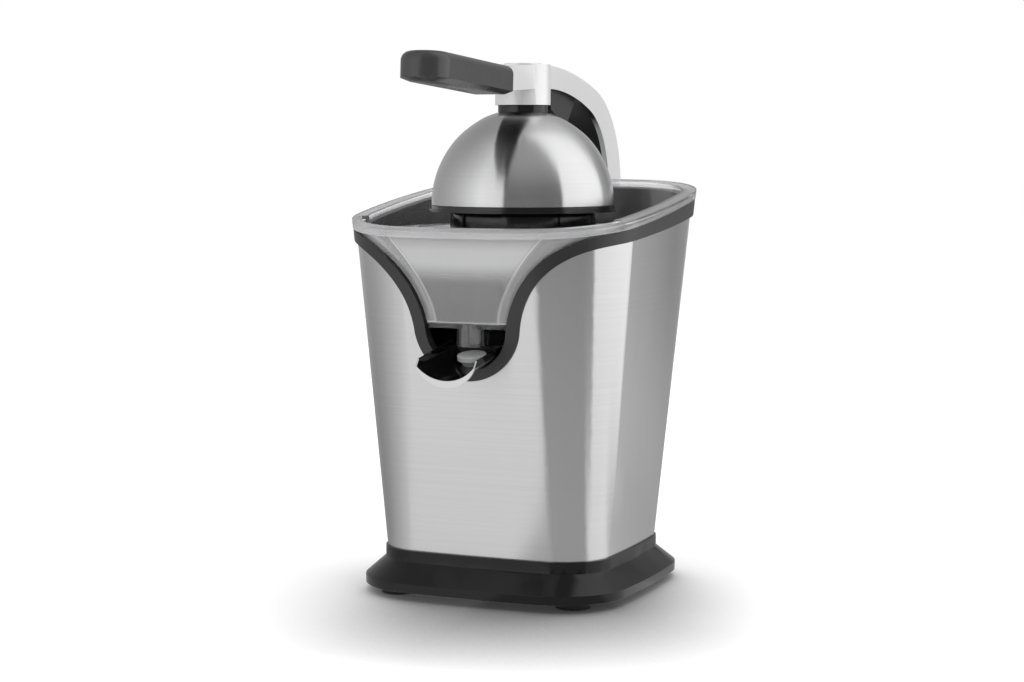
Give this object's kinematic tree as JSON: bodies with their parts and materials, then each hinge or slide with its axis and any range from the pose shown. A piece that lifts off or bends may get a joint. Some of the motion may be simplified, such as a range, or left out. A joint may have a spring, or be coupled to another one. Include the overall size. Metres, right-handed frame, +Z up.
{
  "type": "electric lever citrus press",
  "caption": "Electric worktop citrus press: a lever brings a steel dome down on a ribbed cone turned by a geared motor, and juice runs from a clear collector through a tilting spout",
  "frame": {"origin": "on the worktop, under the axis of the cone and drive shaft", "axes": "+Z up along the cone's axis; -Y to the front, where the spout and the grip point; +X to the right as seen from the front"},
  "size_m": [0.1798, 0.2762, 0.3086],
  "materials": {
    "brushed_body": "brushed level, round the body",
    "sieve_steel": "pressed and polished",
    "polished_spout": "polished",
    "gloss_black": "glossy moulded",
    "satin_black": "satin moulded",
    "painted_black": "satin paint on a casting",
    "clear": "clear moulded",
    "silver_arm": "satin silver on a casting",
    "black_rubber": "matt",
    "grey_silicone": "matt, slightly see-through",
    "plain_steel": "plain turned or drawn",
    "rotor_iron": "varnished",
    "bronze": "sintered",
    "white_nylon": "moulded",
    "grey_casing": "moulded",
    "switch_black": "moulded",
    "switch_red": "moulded"
  },
  "bodies": {
    "root": {"base_shell": "gloss_black", "base_screws": "plain_steel", "bottom_plate": "satin_black", "feet": "black_rubber", "body_shell": "brushed_body", "top_trim": "satin_black", "inner_housing": "satin_black", "housing_screws": "plain_steel", "juice_collector": "clear", "sieve": "sieve_steel", "gearbox_base": "grey_casing", "gearbox_cover": "grey_casing", "gearbox_screws": "plain_steel", "motor_can": "plain_steel", "motor_cap": "plain_steel", "motor_magnets": "rotor_iron", "motor_bushes": "bronze", "motor_screws": "plain_steel", "idler_axle": "plain_steel", "gear_bush": "bronze", "shaft_bush": "bronze", "shaft_seal": "black_rubber", "microswitch": "switch_black", "hinge_bracket": "painted_black", "bracket_screws": "plain_steel", "hinge_pin": "plain_steel", "arm_bumper": "black_rubber", "spout_pin": "plain_steel", "cord_gland": "black_rubber"},
    "lever": {"lever_arm": "silver_arm", "arm_liner": "satin_black", "hinge_bushes": "bronze", "hub_cap": "silver_arm", "grip": "satin_black", "grip_screw": "plain_steel", "dome": "brushed_body", "dome_liner": "satin_black", "dome_neck": "satin_black", "dome_screw": "plain_steel"},
    "spout": {"spout_carrier": "satin_black", "spout_gutter": "polished_spout", "spout_stopper": "grey_silicone"},
    "rotor": {"motor_rotor": "rotor_iron"},
    "idler": {"idler_gear": "white_nylon"},
    "drive": {"drive_gear": "white_nylon", "return_spring": "plain_steel"},
    "shaft": {"drive_shaft": "plain_steel", "shaft_clip": "plain_steel", "cone": "gloss_black"},
    "plunger": {"switch_plunger": "switch_red"}
  },
  "joints": [
    {"name": "lever_hinge", "type": "hinge", "parent": "root", "child": "lever", "pos_m": [0, 0.12, 0.21], "axis": [-1, 0, 0], "range_deg": [0, 80]},
    {"name": "spout_flip", "type": "hinge", "parent": "root", "child": "spout", "pos_m": [0, -0.0514, 0.1377], "axis": [-1, 0, 0], "range_deg": [0, 12]},
    {"name": "rotor_spin", "type": "hinge", "parent": "root", "child": "rotor", "pos_m": [0.01599, 0.02333, 0.054], "axis": [0, 0, 1], "continuous": true},
    {"name": "idler_spin", "type": "hinge", "parent": "root", "child": "idler", "pos_m": [-0.00695, 0.03939, 0.1], "axis": [0, 0, 1], "continuous": true},
    {"name": "drive_spin", "type": "hinge", "parent": "root", "child": "drive", "pos_m": [0, 0, 0.1], "axis": [0, 0, 1], "continuous": true},
    {"name": "shaft_press", "type": "slide", "parent": "drive", "child": "shaft", "axis": [0, 0, -1], "range_m": [0, 0.0025], "stiffness_N_per_m": 1200, "springref_m": -0.006, "deforming": ["return_spring"]},
    {"name": "switch_press", "type": "slide", "parent": "root", "child": "plunger", "axis": [0, 0, -1], "range_m": [0, 0.0025]}
  ],
  "couplings": [
    {"joint": "idler_spin", "follows": "rotor_spin", "ratio": -0.33333},
    {"joint": "drive_spin", "follows": "rotor_spin", "ratio": 0.083333},
    {"joint": "switch_press", "follows": "shaft_press", "ratio": 1}
  ]
}
